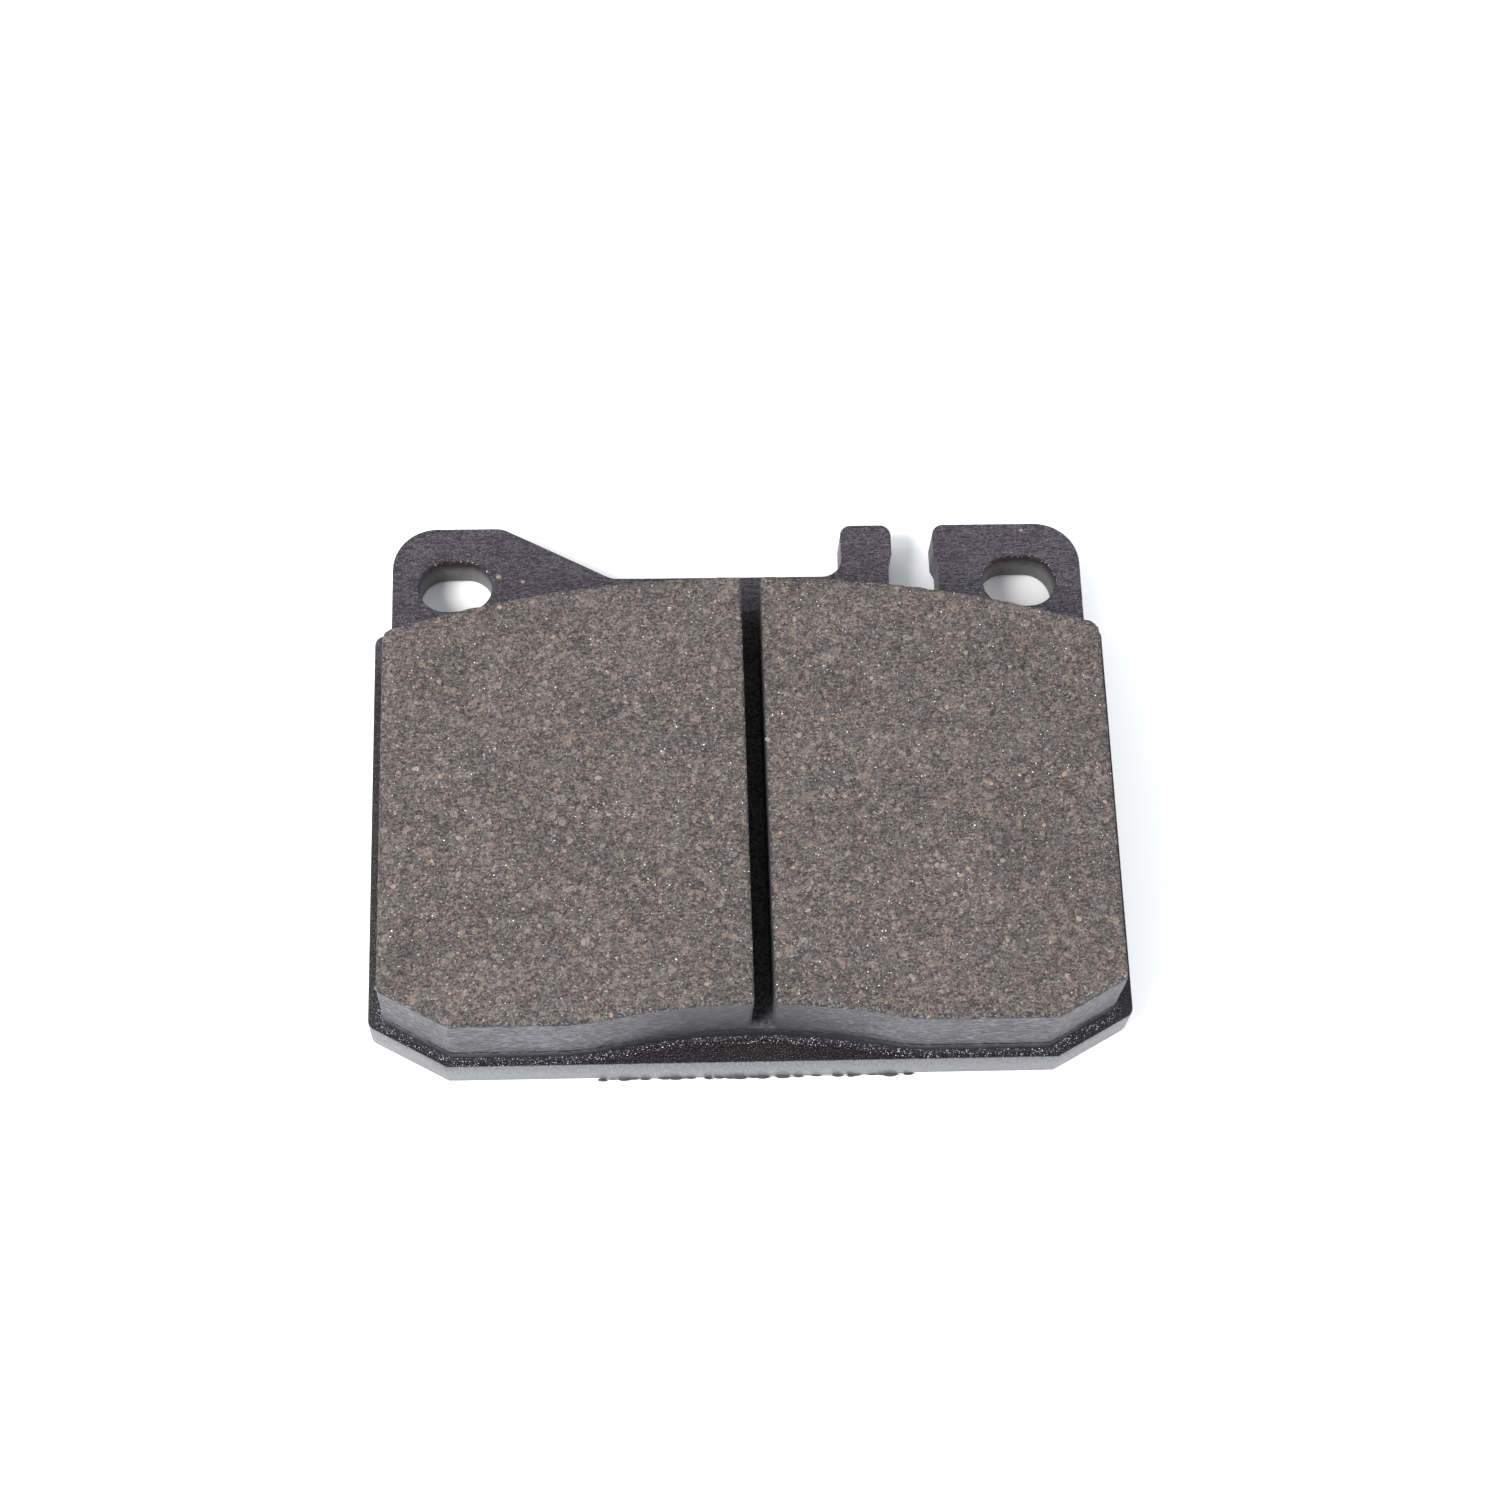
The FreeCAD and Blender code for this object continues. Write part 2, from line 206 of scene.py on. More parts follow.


# %% [markdown]
# ## Finishes of the friction material
# The face is ground flat after moulding, so it shows the mix in section: brown-grey resin and fibre, dark
# graphite, tan mineral and bronze-coloured chips, and bright metal. Cells of two sizes stand for the
# grains; each cell's own random colour decides what it is. The walls keep the skin of the mould instead:
# grey, satin, with faint lines along the wall, and painted shade that darkens them near the plate and in the
# arch, for shade and the reflection of the dark plate. The sawn slot is dull and painted nearly black as
# painted shade of the narrow slot, and along the face's edge small chips have broken out of the skin.

# %% Friction face
def friction_face_finish():
    finish = Finish("friction_face", Roughness=0.85, Specular_IOR_Level=0.3)
    wander = finish.node("ShaderNodeVectorMath", {"operation": "SCALE"},
                         {0: finish.noise(0.5, 2.0, 0.5, output="Color"), "Scale": 0.22 * MM})
    place = finish.node("ShaderNodeVectorMath", {"operation": "ADD"}, {0: finish.place, 1: wander})
    fine = finish.cells(0.21, place)
    coarse = finish.cells(0.70, place)
    wobble = finish.noise(0.11, 4.0, 0.75)
    smear = finish.noise(0.40, 5.0, 0.75, finish.stretched(0.65, 1.45, 1.0))
    patches = finish.noise(7.0, 3.0, 0.55)
    tone = (finish.part(fine, 0) * 0.22 + finish.part(coarse, 0) * 0.08 + wobble * 1.05 + smear * 0.75
            + patches * 0.16 - 0.63)
    colour = finish.ramp_colour(
        tone,
        (0.24, (0.006, 0.005, 0.006)),
        (0.38, (0.024, 0.020, 0.020)),
        (0.52, (0.063, 0.051, 0.048)),
        (0.66, (0.116, 0.095, 0.087)),
        (0.84, (0.205, 0.170, 0.154)),
    )
    flakes = 1 - finish.noise(0.30, 3.0, 0.6, place).ramp(0.37, 0.42)
    colour = finish.mix(flakes * 0.75, colour, (0.010, 0.010, 0.011))
    cool = finish.part(coarse, 0).ramp(0.80, 0.84) * finish.noise(0.25, 3.0).ramp(0.40, 0.60)
    colour = finish.mix(cool * 0.50, colour, (0.034, 0.043, 0.046))
    tan = (finish.part(coarse, 1) > 0.84) * finish.noise(0.30, 3.0).ramp(0.44, 0.60)
    colour = finish.mix(tan * 0.55, colour, (0.165, 0.124, 0.096))
    pale = (finish.part(coarse, 2) > 0.92) * finish.noise(0.35, 4.0, 0.65).ramp(0.44, 0.58)
    colour = finish.mix(pale * 0.30, colour, (0.225, 0.190, 0.178))
    dust = (finish.part(fine, 2) > 0.975) * finish.noise(0.22, 2.0).ramp(0.42, 0.58)
    colour = finish.mix(dust * 0.7, colour, (0.25, 0.22, 0.20))
    finish.set("Base Color", colour)
    height = finish.part(fine, 0) * 0.3 + wobble * 0.7 + smear * 0.6
    finish.relief(height, 0.06, 0.8)
    return finish.material


# %% Moulded walls of the friction material
# In millimetres. The painted shade is measured up from the film, and in the arch inwards from the block's
# front.
DARK_SPECK_AND_SHADE = (0.010, 0.009, 0.011)
WALL_SHADE_LOW = 1.6
WALL_SHADE_HIGH = 6.4
ARCH_IN = 1.0
ARCH_DEPTH = 1.6
ARCH_BACK = 4.0
ARCH_REACH = 21.0


def friction_wall_finish():
    finish = Finish("friction_wall", Specular_IOR_Level=0.34)
    lines = finish.noise(0.24, 4.0, 0.7, finish.stretched(0.30, 0.30, 1.2))
    specks = finish.noise(0.20, 3.0, 0.6, finish.stretched(0.6, 0.6, 1.0))
    grain = finish.noise(0.12, 3.0, 0.7)
    clouds = finish.noise(3.0, 4.0, 0.6)
    colour = finish.ramp_colour(
        lines * 0.62 + grain * 0.24 + clouds * 0.14,
        (0.43, (0.005, 0.005, 0.007)),
        (0.50, (0.030, 0.031, 0.036)),
        (0.57, (0.112, 0.114, 0.132)),
    )
    film_top = film_high.z / MM
    # Painted shade: the wall darkens towards the film and in the arch, for shade and the reflection of the
    # dark plate.
    above_shade = (finish.axis("Z") + clouds * 3.0 + lines * 1.5).ramp(film_top + WALL_SHADE_LOW, film_top + WALL_SHADE_HIGH)
    front = block_low.y / MM
    arch = (finish.axis("Y") + clouds * 0.5).ramp(front + ARCH_IN, front + ARCH_IN + ARCH_DEPTH)
    arch = arch * (finish.axis("Y") < front + ARCH_BACK) * (finish.axis("X").math("ABSOLUTE") < ARCH_REACH)
    unshaded = above_shade * (1 - arch * 0.75)
    # The dark specks grow denser where the painted shade falls, and the painted shade is then laid over the
    # wall.
    specks_and_shade = (specks + unshaded * 0.115).ramp(0.47, 0.53)
    colour = finish.mix(specks_and_shade, DARK_SPECK_AND_SHADE, colour)
    colour = finish.mix(unshaded * 0.85 + 0.15, DARK_SPECK_AND_SHADE, colour)
    finish.set("Base Color", colour)
    finish.set("Roughness", 0.62 - lines * 0.20)
    finish.relief(lines * 0.8 + specks * 0.5, 0.06, 0.9)
    return finish.material


# %% Sawn walls and floor of the cooling slot
def slot_finish():
    finish = Finish("slot_sawn", Roughness=0.9, Specular_IOR_Level=0.2)
    grains = finish.part(finish.cells(0.3), 0)
    crumbs = (finish.part(finish.cells(0.55), 1) > 0.9) * 0.5
    # Painted shade: the sawn walls and floor are painted nearly black for the shade inside the narrow slot.
    colour = finish.mix(grains, (0.014, 0.013, 0.015), (0.060, 0.056, 0.060))
    finish.set("Base Color", finish.mix(crumbs, colour, (0.06, 0.047, 0.038)))
    finish.relief(grains, 0.05)
    return finish.material


# %% Chipped edge round the face
def chipped_finish():
    finish = Finish("chipped_edge", Roughness=0.8, Specular_IOR_Level=0.4)
    grains = finish.cells(0.22)
    colour = finish.mix(finish.part(grains, 0) ** 3.0, (0.012, 0.012, 0.013), (0.13, 0.12, 0.12))
    finish.set("Base Color", colour)
    finish.relief(finish.part(grains, 1), 0.06)
    return finish.material


# %% [markdown]
# ## Finishes of the plate
# The plate is pressed from steel sheet and powder coated. On the faces the coat is thick and wrinkles into
# fine crossing ridges, painted lighter with painted highlights and glints; on the sheared edges at the front
# it is smooth and glossier, and painted a lighter grey as painted reflection of the bright table. Near the
# block the coat is painted nearly black as painted shade. In the pin slots the upper band of the wall is
# painted dark as painted shade and the lower part left lighter as under bounce light, with painted glints
# near the top.

# %% Powder coat on the faces
# In millimetres: the radius of the block's crowned edge, and where beyond it the painted shade ends.
CROWN_RADIUS = 142.0
SHADE_PAST = 0.3
SHADE_FADE = 5.5


def plate_coat_finish():
    finish = Finish("plate_coat", Specular_IOR_Level=0.26)
    crown_x = (block_low.x + block_high.x) / 2 / MM
    crown_y = block_high.y / MM - CROWN_RADIUS
    aside = finish.axis("X") - crown_x
    along = finish.axis("Y") - crown_y
    from_crown = (aside * aside + along * along) ** 0.5
    clouds = finish.noise(5.0, 3.0, 0.5)
    shade_end = CROWN_RADIUS + SHADE_PAST
    # Painted shade: near the block the coat is painted nearly black.
    out_of_shade = (from_crown + clouds * 3.0 - 1.5).ramp(shade_end, shade_end + SHADE_FADE)
    ridges = finish.noise(0.50, 4.0, 0.62, finish.stretched(0.55, 1.65, 1.0))
    wrinkle_and_highlight = (1 - (ridges - 0.5).math("ABSOLUTE") * 13).clamp()
    # Painted highlights: the ridges are painted lighter than the coat, and painted glints sit on them.
    ridge_glints = finish.noise(0.16, 2.0, 0.5).ramp(0.62, 0.68) * wrinkle_and_highlight
    colour = finish.mix(wrinkle_and_highlight, (0.015, 0.012, 0.018), (0.150, 0.136, 0.168))
    colour = finish.mix(clouds.ramp(0.35, 0.75) * 0.40, colour, (0.028, 0.020, 0.025))
    colour = finish.mix(ridge_glints * 0.9, colour, (0.50, 0.49, 0.53))
    colour = finish.mix(out_of_shade, (0.006, 0.004, 0.005), colour)
    dots = finish.noise(0.13, 2.0, 0.5).ramp(0.60, 0.68)
    colour = finish.mix(dots * 0.35, colour, (0.30, 0.29, 0.31))
    finish.set("Base Color", colour)
    finish.set("Roughness", 0.17 + out_of_shade * 0.17 + clouds * 0.08)
    finish.relief(out_of_shade * (wrinkle_and_highlight * 0.4 + ridges) + ridges * 0.2, 0.40, 1.0)
    return finish.material


# %% Coat on the sheared edges, with painted reflection
def plate_edge_finish():
    finish = Finish("plate_edge", Specular_IOR_Level=0.8)
    drag = finish.noise(0.35, 4.0, 0.6, finish.stretched(1.0, 1.0, 0.35))
    pits = finish.noise(0.18, 2.0, 0.5).ramp(0.30, 0.40)
    # Painted reflection: the lighter grey of these edges stands for the bright table reflected in the black
    # coat.
    colour = finish.mix(drag.ramp(0.36, 0.64), (0.016, 0.017, 0.021), (0.098, 0.102, 0.118))
    finish.set("Base Color", finish.mix(pits, (0.02, 0.02, 0.023), colour))
    finish.set("Roughness", 0.34 + drag * 0.2)
    finish.relief(drag + pits * 0.3, 0.04, 0.8)
    return finish.material


# %% Punched wall of a hole
# In millimetres. The darker band of painted shade is measured up from the plate's back, the painted glints
# down from its top.
TORN_AND_SHADE_LOW = 3.6
TORN_AND_SHADE_HIGH = 5.6
GLINTS_LOW = 0.7
GLINTS_HIGH = 0.3


def plate_hole_finish():
    finish = Finish("plate_hole", Specular_IOR_Level=0.25)
    height = finish.axis("Z")
    ragged = height + finish.noise(1.4, 4.0, 0.65) * 2.4
    torn_and_shade = ragged.ramp(plate_low.z / MM + TORN_AND_SHADE_LOW, plate_low.z / MM + TORN_AND_SHADE_HIGH)
    drag = finish.noise(0.5, 4.0, 0.6, finish.stretched(1.0, 1.0, 0.2))
    colour = finish.mix(drag, (0.050, 0.048, 0.049), (0.150, 0.146, 0.148))
    # Painted shade: the upper band is darker, so the wall reads dark at the top and lighter below, as under
    # bounce light from the table.
    colour = finish.mix(torn_and_shade, colour, (0.016, 0.010, 0.010))
    near_top = height.ramp(plate_high.z / MM - GLINTS_LOW, plate_high.z / MM - GLINTS_HIGH)
    # Painted glints near the top of the wall.
    rim_glints = finish.noise(0.20, 2.0, 0.5).ramp(0.64, 0.69) * near_top
    colour = finish.mix(rim_glints, colour, (0.75, 0.73, 0.72))
    finish.set("Base Color", colour)
    finish.set("Roughness", 0.42 + drag * 0.2)
    finish.relief(drag + torn_and_shade * 0.6, 0.06, 0.8)
    return finish.material


# %% [markdown]
# ## Finishes of the film, the shim and the grains
# The film is glossy black resin. The underlayer shares the wall's finish. The shim's layers show
# at their edges and the rubber skin shows on the back. Grains are many small bodies that share one finish,
# and each carries a number of its own, called tone, that picks its colour.

# %% Film, underlayer and shim
def plain_finish(name, dark, light, grain_mm, roughness, depth_mm, **constants):
    finish = Finish(name, **constants)
    grain = finish.noise(grain_mm, 4.0, 0.6)
    clouds = finish.noise(grain_mm * 12, 2.0)
    finish.set("Base Color", finish.mix((grain * 0.6 + clouds * 0.4).ramp(0.3, 0.7), dark, light))
    finish.set("Roughness", roughness + grain * 0.2)
    finish.relief(grain, depth_mm)
    return finish.material


film_finish = plain_finish("film_resin", (0.006, 0.005, 0.007), (0.022, 0.020, 0.025), 0.3, 0.22, 0.05,
                           Specular_IOR_Level=0.3)
rubber_finish = plain_finish("shim_rubber_skin", (0.012, 0.012, 0.013), (0.030, 0.030, 0.032),
                             0.5, 0.6, 0.02)
glue_finish = plain_finish("shim_glue", (0.05, 0.045, 0.04), (0.09, 0.08, 0.07), 0.5, 0.5, 0.02)
steel_finish = plain_finish("shim_sheet", (0.30, 0.30, 0.31), (0.46, 0.46, 0.47), 0.4, 0.3, 0.01,
                            Metallic=1.0)


# %% Grains
def grain_finish(name, stops, **constants):
    finish = Finish(name, **constants)
    tone = finish.node("ShaderNodeAttribute", {"attribute_name": "tone"}, None, output="Fac")
    speck = finish.noise(0.12, 2.0)
    finish.set("Base Color", finish.ramp_colour(tone * 0.85 + speck * 0.15, *stops))
    finish.relief(speck, 0.03)
    return finish.material


fleck_finish = grain_finish(
    "tan_grain",
    [(0.10, (0.090, 0.076, 0.071)), (0.55, (0.130, 0.106, 0.095)),
     (0.85, (0.175, 0.132, 0.104)), (0.98, (0.22, 0.135, 0.080))],
    Roughness=0.85,
)
glint_finish = grain_finish(
    "metal_grain",
    [(0.2, (0.45, 0.45, 0.46)), (0.8, (0.85, 0.84, 0.82))],
    Roughness=0.28, Metallic=0.6,
)
grit_finish = grain_finish(
    "rim_grit",
    [(0.30, (0.012, 0.011, 0.013)), (0.55, (0.10, 0.098, 0.105)),
     (0.78, (0.45, 0.44, 0.45)), (0.92, (0.85, 0.84, 0.84))],
    Roughness=0.3,
)

# %% [markdown]
# ## Starting from the drawing
# A CAD node is loose triangles and must stay as it is. A copy of it can be worked on: its doubled points
# are merged and its flat triangles are joined into whole faces, so that edges can be rounded cleanly.

# %% Copies of CAD nodes and finished pieces
def worked_copy(node, name):
    mesh = nodes[node].data.copy()
    mesh.name = name
    mesh.materials.clear()
    work = bmesh.new()
    work.from_mesh(mesh)
    bmesh.ops.remove_doubles(work, verts=work.verts, dist=SAME_POINT)
    flat = math.radians(0.2)
    bmesh.ops.dissolve_limit(work, angle_limit=flat, verts=work.verts, edges=work.edges)
    bmesh.ops.recalc_face_normals(work, faces=work.faces)
    work.to_mesh(mesh)
    work.free()
    piece = bpy.data.objects.new(name, mesh)
    bpy.context.scene.collection.objects.link(piece)
    return piece


def made_solid(piece):
    """Turn the piece's modifiers into plain mesh and take them off."""
    view = bpy.context.evaluated_depsgraph_get()
    mesh = bpy.data.meshes.new_from_object(piece.evaluated_get(view), depsgraph=view)
    piece.modifiers.clear()
    piece.data = mesh
    return piece


def dressed(piece, materials, choose):
    """Give the piece its materials, and each face the one that choose(centre, normal) names."""
    piece.data.materials.clear()
    for material in materials:
        piece.data.materials.append(material)
    for face in piece.data.polygons:
        face.material_index = choose(face.center, face.normal)
    return piece


def seated(piece, slot, *replaced):
    """Hand the finished piece to the frame."""
    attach(piece, "root")
    if replaced:
        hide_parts(*replaced)
    print(piece.name, len(piece.data.polygons), "faces")


# %% [markdown]
# ## The backing plate
# A press rolls the sheet's edge over on the side where the punch enters and leaves it sharp on the other.
# The plate is the drawing's own outline with that rolled edge added by a Bevel whose normals are hardened,
# so the flat faces stay flat. Three finishes share it: the coat, the sheared edges at the front, and the
# punched walls of the pin slots.

# %% Backing plate
COAT, SHEARED, PUNCHED = range(3)
LEVEL = 0.8
ROLLED_EDGE = 0.38 * MM
PIN_SLOT_REACH = 6.0 * MM
FRONT_EDGES = plate_low.y + 6.0 * MM

pin_slots = [Vector(mount["pos_m"]) + Vector((side * mount["dims"]["spacing_x_mm"] / 2 * MM, 0, 0))
             for mount in frame["record"]["mounts"] if mount["name"] == "pin_slots" for side in (-1, 1)]


def plate_surface(centre, normal):
    if abs(normal.z) > LEVEL:
        return COAT
    if centre.y > FRONT_EDGES:
        return PUNCHED if in_hole(centre, normal) else COAT
    return SHEARED


def in_hole(centre, normal):
    return any((centre - slot).xy.length < PIN_SLOT_REACH and normal.xy.dot((slot - centre).xy) > 0
               for slot in pin_slots)


plate = worked_copy("backing_plate", "plate_coated")
edge = plate.modifiers.new("rolled_edge", "BEVEL")
edge.width = ROLLED_EDGE
edge.segments = 3
edge.limit_method = "ANGLE"
edge.angle_limit = math.radians(50)
edge.harden_normals = True
plate.data.polygons.foreach_set("use_smooth", [True] * len(plate.data.polygons))
made_solid(plate)
dressed(plate, [plate_coat_finish(), plate_edge_finish(), plate_hole_finish()], plate_surface)
seated(plate, "plate_coating", "backing_plate")

# %% [markdown]
# ## The friction block
# Moulded grains crumble along every edge that is ground or sawn, so the block has no clean corners. A voxel
# Remesh turns the drawing's block into an even skin of small faces, and a small Geometry Nodes tree pushes
# that skin in and out by two noises, coarse for the chipped edges and fine for the single grains. Each face
# of the skin then gets one of four finishes by where it lies.

# %% Friction block
SKIN_FACE = 0.42 * MM


def node_tree(name, inputs):
    """An empty Geometry Nodes tree with a geometry input, the named inputs and a geometry output."""
    tree = bpy.data.node_groups.new(name, "GeometryNodeTree")
    tree.interface.new_socket("Geometry", in_out="INPUT", socket_type="NodeSocketGeometry")
    for label, kind in inputs.items():
        tree.interface.new_socket(label, in_out="INPUT", socket_type="NodeSocket" + kind)
    tree.interface.new_socket("Geometry", in_out="OUTPUT", socket_type="NodeSocketGeometry")
    return tree


def tree_node(tree, kind, settings=None, inputs=None):
    """One node of a tree, with its settings and with each input a value or another node's output."""
    made = tree.nodes.new(kind)
    for name, value in (settings or {}).items():
        setattr(made, name, value)
    for name, value in (inputs or {}).items():
        if isinstance(value, bpy.types.NodeSocket):
            tree.links.new(value, made.inputs[name])
        else:
            made.inputs[name].default_value = value
    return made


def grown(piece, tree, values):
    """Run the tree on the piece with the given values, each set by its socket's identifier."""
    modifier = piece.modifiers.new(tree.name, "NODES")
    modifier.node_group = tree
    for item in tree.interface.items_tree:
        if item.in_out == "INPUT" and item.name in values:
            modifier[item.identifier] = values[item.name]
    return made_solid(piece)


def crumbled_skin():
    tree = node_tree("crumbled_skin", {"Chip Size": "Float", "Chip Depth": "Float", "Grain Size": "Float",
                                       "Grain Depth": "Float"})
    given = tree.nodes.new("NodeGroupInput").outputs
    end = tree.nodes.new("NodeGroupOutput")
    total = None
    for size, depth in (("Chip Size", "Chip Depth"), ("Grain Size", "Grain Depth")):
        scale = tree_node(tree, "ShaderNodeMath", {"operation": "DIVIDE"}, {0: 1.0, 1: given[size]})
        wave = tree_node(tree, "ShaderNodeTexNoise", None, {"Scale": scale.outputs[0], "Detail": 2.0})
        centred = tree_node(tree, "ShaderNodeMath", {"operation": "SUBTRACT"}, {0: wave.outputs[0], 1: 0.5})
        push = tree_node(tree, "ShaderNodeMath", {"operation": "MULTIPLY"},
                         {0: centred.outputs[0], 1: given[depth]})
        if total is None:
            total = push
        else:
            total = tree_node(tree, "ShaderNodeMath", {"operation": "ADD"},
                              {0: total.outputs[0], 1: push.outputs[0]})
    normal = tree.nodes.new("GeometryNodeInputNormal")
    offset = tree_node(tree, "ShaderNodeVectorMath", {"operation": "SCALE"},
                       {0: normal.outputs[0], "Scale": total.outputs[0]})
    moved = tree_node(tree, "GeometryNodeSetPosition", None,
                      {"Geometry": given["Geometry"], "Offset": offset.outputs[0]})
    tree.links.new(moved.outputs[0], end.inputs[0])
    return tree


FACE, WALL, SAWN, CHIPPED = range(4)
FACE_BAND = 0.34 * MM
CHIP_BAND = 0.5 * MM
CHIP_REACH = 0.85 * MM
CHIP_SPACING = 0.75 * MM
SLOT_SIDE = 0.25 * MM
SAWN_BELOW_FACE = 0.35 * MM
SAWN_PAST_FLOOR = 0.3 * MM

block_mesh = nodes["friction_block"].data
upright = [list(face.vertices) for face in block_mesh.polygons if abs(face.normal.z) < 0.1]
walls = BVHTree.FromPolygons([v.co for v in block_mesh.vertices], upright)


def block_surface(centre, normal):
    if centre.z > block_high.z - CHIP_BAND and normal.z > 0.12:
        from_wall = walls.find_nearest(centre)[3]
        if from_wall < CHIP_REACH * (0.3 + noise.noise(centre / CHIP_SPACING)):
            return CHIPPED
    beside = slot_left - SLOT_SIDE < centre.x < slot_right + SLOT_SIDE
    between = slot_floor - SAWN_PAST_FLOOR < centre.z < block_high.z - SAWN_BELOW_FACE
    if beside and between and abs(normal.y) < 0.7:
        return SAWN
    return FACE if centre.z > block_high.z - FACE_BAND and normal.z > 0.35 else WALL


block = worked_copy("friction_block", "friction_block_moulded")
skin = block.modifiers.new("skin", "REMESH")
skin.mode = "VOXEL"
skin.voxel_size = SKIN_FACE
made_solid(block)
grown(block, crumbled_skin(), {"Chip Size": 1.1 * MM, "Chip Depth": 0.16 * MM, "Grain Size": 0.4 * MM,
                               "Grain Depth": 0.14 * MM})
block.data.polygons.foreach_set("use_smooth", [True] * len(block.data.polygons))
wall_finish = friction_wall_finish()
dressed(block, [friction_face_finish(), wall_finish, slot_finish(), chipped_finish()], block_surface)
seated(block, "friction", "friction_block")

# %% [markdown]
# ## Grains in the face
# Two kinds of grain stand out of the ground face: tan mineral chips and bright slivers of metal. A Geometry
# Nodes tree scatters points over the upper faces and sets a small flattened ball on each, turned and sized
# at random, so that a few numbers set how many grains there are and how large.

# %% Scattered grains
def scattered_grains():
    tree = node_tree("scattered_grains", {"Density": "Float", "Smallest": "Float", "Largest": "Float",
                                          "Flatness": "Float", "Lowest": "Float", "Seed": "Int",
                                          "Material": "Material"})
    given = tree.nodes.new("NodeGroupInput").outputs
    end = tree.nodes.new("NodeGroupOutput")
    normal = tree_node(tree, "ShaderNodeSeparateXYZ", None,
                       {0: tree.nodes.new("GeometryNodeInputNormal").outputs[0]})
    place = tree_node(tree, "ShaderNodeSeparateXYZ", None,
                      {0: tree.nodes.new("GeometryNodeInputPosition").outputs[0]})
    up = tree_node(tree, "FunctionNodeCompare", {"operation": "GREATER_THAN"}, {0: normal.outputs[2], 1: 0.6})
    high = tree_node(tree, "FunctionNodeCompare", {"operation": "GREATER_THAN"},
                     {0: place.outputs[2], 1: given["Lowest"]})
    both = tree_node(tree, "FunctionNodeBooleanMath", {"operation": "AND"},
                     {0: up.outputs[0], 1: high.outputs[0]})
    points = tree_node(tree, "GeometryNodeDistributePointsOnFaces", None,
                       {"Mesh": given["Geometry"], "Selection": both.outputs[0], "Density": given["Density"],
                        "Seed": given["Seed"]})
    ball = tree_node(tree, "GeometryNodeMeshIcoSphere", None, {"Radius": 1.0, "Subdivisions": 2})
    size = tree_node(tree, "FunctionNodeRandomValue", {"data_type": "FLOAT"},
                     {"Min": given["Smallest"], "Max": given["Largest"], "Seed": given["Seed"]})
    longer = tree_node(tree, "FunctionNodeRandomValue", {"data_type": "FLOAT"},
                       {"Min": 0.7, "Max": 1.6, "Seed": 11})
    length = tree_node(tree, "ShaderNodeMath", {"operation": "MULTIPLY"},
                       {0: size.outputs[1], 1: longer.outputs[1]})
    height = tree_node(tree, "ShaderNodeMath", {"operation": "MULTIPLY"},
                       {0: size.outputs[1], 1: given["Flatness"]})
    scale = tree_node(tree, "ShaderNodeCombineXYZ", None,
                      {0: length.outputs[0], 1: size.outputs[1], 2: height.outputs[0]})
    turn = tree_node(tree, "FunctionNodeRandomValue", {"data_type": "FLOAT_VECTOR"},
                     {"Min": (-0.15, -0.15, 0.0), "Max": (0.15, 0.15, 6.28), "Seed": 5})
    balls = tree_node(tree, "GeometryNodeInstanceOnPoints", None,
                      {"Points": points.outputs[0], "Instance": ball.outputs[0], "Scale": scale.outputs[0],
                       "Rotation": turn.outputs[0]})
    tone = tree_node(tree, "FunctionNodeRandomValue", {"data_type": "FLOAT"},
                     {"Min": 0.0, "Max": 1.0, "Seed": 3})
    toned = tree_node(tree, "GeometryNodeStoreNamedAttribute", {"data_type": "FLOAT", "domain": "INSTANCE"},
                      {"Geometry": balls.outputs[0], "Name": "tone", "Value": tone.outputs[1]})
    real = tree_node(tree, "GeometryNodeRealizeInstances", None, {0: toned.outputs[0]})
    coloured = tree_node(tree, "GeometryNodeSetMaterial", None,
                         {"Geometry": real.outputs[0], "Material": given["Material"]})
    tree.links.new(coloured.outputs[0], end.inputs[0])
    return tree


GRAIN_KINDS = [
    # name, grains per square centimetre, smallest and largest radius in mm, flatness, seed, finish
    ("tan_grains", 7.0, 0.10, 0.32, 0.16, 4, fleck_finish),
    ("metal_grains", 14.0, 0.025, 0.075, 0.8, 9, glint_finish),
]
PER_CM2 = 1e4
GRAIN_BAND = 0.2 * MM
grain_tree = scattered_grains()
for name, density, smallest, largest, flatness, seed, finish in GRAIN_KINDS:
    grains = bpy.data.objects.new(name, block.data.copy())
    bpy.context.scene.collection.objects.link(grains)
    grown(grains, grain_tree, {"Density": density * PER_CM2, "Smallest": smallest * MM,
                               "Largest": largest * MM, "Flatness": flatness,
                               "Lowest": block_high.z - GRAIN_BAND, "Seed": seed, "Material": finish})
    seated(grains, "friction")

# %% [markdown]
# ## Grit along the film's rim
# The adhesive is rolled on before moulding, and crumbs of the mix stay stuck to it where it shows round the
# block. The rim is a path, so the grains follow one: the film's upper outline becomes a curve, the curve
# becomes points, each point is pushed sideways by a random amount and gets a tiny ball.

# %% Grit on a path
FAR_ALONG = 0.55
FAR_ASIDE = 0.9


